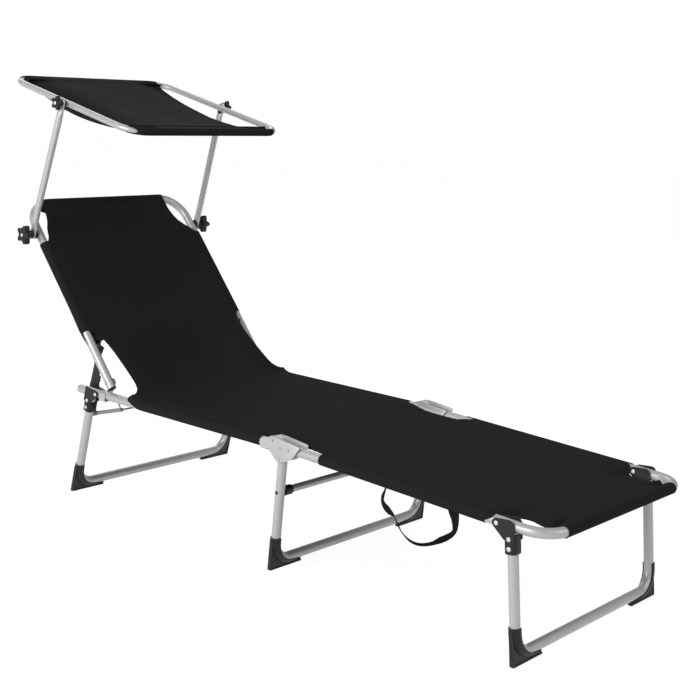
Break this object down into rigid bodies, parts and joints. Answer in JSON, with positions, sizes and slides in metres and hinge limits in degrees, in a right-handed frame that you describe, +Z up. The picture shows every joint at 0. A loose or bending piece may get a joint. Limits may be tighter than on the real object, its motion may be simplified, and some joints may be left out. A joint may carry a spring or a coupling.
{
  "type": "folding sun lounger with canopy",
  "caption": "Folding sun lounger with a tube frame, stretched cloth, folding legs, an adjustable backrest and a tilting canopy on swinging arms.",
  "frame": {"origin": "on the floor, under the centre of the whole lounger's box", "axes": "+Z up, +Y along the lounger toward the head end, X across it; pieces named left lie at -X and pieces named right at +X"},
  "size_m": [0.6436, 1.7836, 1.0705],
  "materials": {
    "frame_aluminium": "satin, light silver",
    "hinge_steel": "pressed, zinc plated",
    "dark_steel": "dark grey, semi matt",
    "black_plastic": "moulded, semi matt",
    "black_cloth": "tight plain weave",
    "webbing": "flat woven band"
  },
  "bodies": {
    "seat_frame": {"seat_rail_left": "frame_aluminium", "seat_rail_right": "frame_aluminium", "rail_end_cap_left": "black_plastic", "rail_end_cap_right": "black_plastic", "seat_hinge_strap_left": "hinge_steel", "seat_hinge_strap_right": "hinge_steel", "backrest_pivot_bracket_left": "hinge_steel", "backrest_pivot_bracket_right": "hinge_steel", "stay_hook_left": "dark_steel", "stay_hook_right": "dark_steel", "seat_fabric": "black_cloth"},
    "foot_section": {"foot_frame_tube": "frame_aluminium", "foot_hinge_plate_left": "hinge_steel", "foot_hinge_plate_right": "hinge_steel", "foot_fabric": "black_cloth", "carry_strap": "webbing"},
    "foot_leg": {"foot_leg_tube": "frame_aluminium", "foot_leg_bracket_left": "black_plastic", "foot_leg_bracket_right": "black_plastic", "foot_leg_shoe_left": "black_plastic", "foot_leg_shoe_right": "black_plastic"},
    "middle_leg": {"middle_leg_tube": "frame_aluminium", "middle_leg_shoe_left": "black_plastic", "middle_leg_shoe_right": "black_plastic", "middle_leg_brace": "dark_steel", "brace_end_cap_left": "black_plastic", "brace_end_cap_right": "black_plastic"},
    "head_leg": {"head_leg_tube": "frame_aluminium", "head_leg_bracket_left": "black_plastic", "head_leg_bracket_right": "black_plastic", "head_leg_shoe_left": "black_plastic", "head_leg_shoe_right": "black_plastic"},
    "leg_stay": {"leg_stay": "dark_steel"},
    "backrest": {"back_frame_tube": "frame_aluminium", "back_tube_plug_left": "black_plastic", "back_tube_plug_right": "black_plastic", "back_fabric": "black_cloth"},
    "rack_left": {"backrest_rack_left": "black_plastic"},
    "rack_right": {"backrest_rack_right": "black_plastic"},
    "canopy_arms": {"canopy_arm_left": "frame_aluminium", "canopy_arm_right": "frame_aluminium", "arm_spacer_left": "black_plastic", "arm_spacer_right": "black_plastic"},
    "canopy": {"canopy_frame": "frame_aluminium", "canopy_fabric": "black_cloth", "canopy_clip_left": "black_plastic", "canopy_clip_right": "black_plastic"},
    "knob_lower_left": {"lower_knob_left": "black_plastic"},
    "knob_lower_right": {"lower_knob_right": "black_plastic"},
    "knob_upper_left": {"upper_knob_left": "black_plastic"},
    "knob_upper_right": {"upper_knob_right": "black_plastic"}
  },
  "joints": [
    {"name": "foot_fold", "type": "hinge", "parent": "seat_frame", "child": "foot_section", "pos_m": [0, -0.15267, 0.3065], "axis": [1, 0, 0], "range_deg": [-168, 0]},
    {"name": "foot_leg_fold", "type": "hinge", "parent": "foot_section", "child": "foot_leg", "pos_m": [0, -0.76572, 0.28], "axis": [-1, 0, 0], "range_deg": [-98.3, 0], "deforming": ["carry_strap"]},
    {"name": "middle_leg_fold", "type": "hinge", "parent": "foot_section", "child": "middle_leg", "pos_m": [0, -0.17476, 0.26649], "axis": [1, 0, 0], "range_deg": [-91.7, 0]},
    {"name": "head_leg_fold", "type": "hinge", "parent": "seat_frame", "child": "head_leg", "pos_m": [0, 0.48496, 0.2815], "axis": [1, 0, 0], "range_deg": [-104, 0]},
    {"name": "stay_turn", "type": "hinge", "parent": "head_leg", "child": "leg_stay", "pos_m": [0, 0.52822, 0.21749], "axis": [1, 0, 0], "range_deg": [-1, 125]},
    {"name": "backrest_recline", "type": "hinge", "parent": "seat_frame", "child": "backrest", "pos_m": [0, 0.44568, 0.31828], "axis": [1, 0, 0], "range_deg": [-49.8, 80]},
    {"name": "rack_left_turn", "type": "hinge", "parent": "seat_frame", "child": "rack_left", "pos_m": [-0.2463, 0.52702, 0.28398], "axis": [1, 0, 0], "range_deg": [-38, 61]},
    {"name": "rack_right_turn", "type": "hinge", "parent": "seat_frame", "child": "rack_right", "pos_m": [0.2463, 0.52702, 0.28398], "axis": [1, 0, 0], "range_deg": [-38, 61]},
    {"name": "canopy_arm_swing", "type": "hinge", "parent": "backrest", "child": "canopy_arms", "pos_m": [0, 0.7488, 0.66295], "axis": [-1, 0, 0], "range_deg": [-80, 58]},
    {"name": "canopy_tilt", "type": "hinge", "parent": "canopy_arms", "child": "canopy", "pos_m": [0, 0.64175, 1.00876], "axis": [1, 0, 0], "range_deg": [-60, 75]},
    {"name": "knob_lower_left_turn", "type": "hinge", "parent": "canopy_arms", "child": "knob_lower_left", "pos_m": [-0.3, 0.7488, 0.66295], "axis": [-1, 0, 0], "continuous": true},
    {"name": "knob_lower_right_turn", "type": "hinge", "parent": "canopy_arms", "child": "knob_lower_right", "pos_m": [0.3, 0.7488, 0.66295], "axis": [1, 0, 0], "continuous": true},
    {"name": "knob_upper_left_turn", "type": "hinge", "parent": "canopy_arms", "child": "knob_upper_left", "pos_m": [-0.285, 0.64175, 1.00876], "axis": [-1, 0, 0], "continuous": true},
    {"name": "knob_upper_right_turn", "type": "hinge", "parent": "canopy_arms", "child": "knob_upper_right", "pos_m": [0.285, 0.64175, 1.00876], "axis": [1, 0, 0], "continuous": true}
  ],
  "couplings": [
    {"joint": "stay_turn", "follows": "head_leg_fold", "ratio": -1.19},
    {"joint": "rack_left_turn", "follows": "backrest_recline", "ratio": 0.75},
    {"joint": "rack_right_turn", "follows": "backrest_recline", "ratio": 0.75}
  ]
}
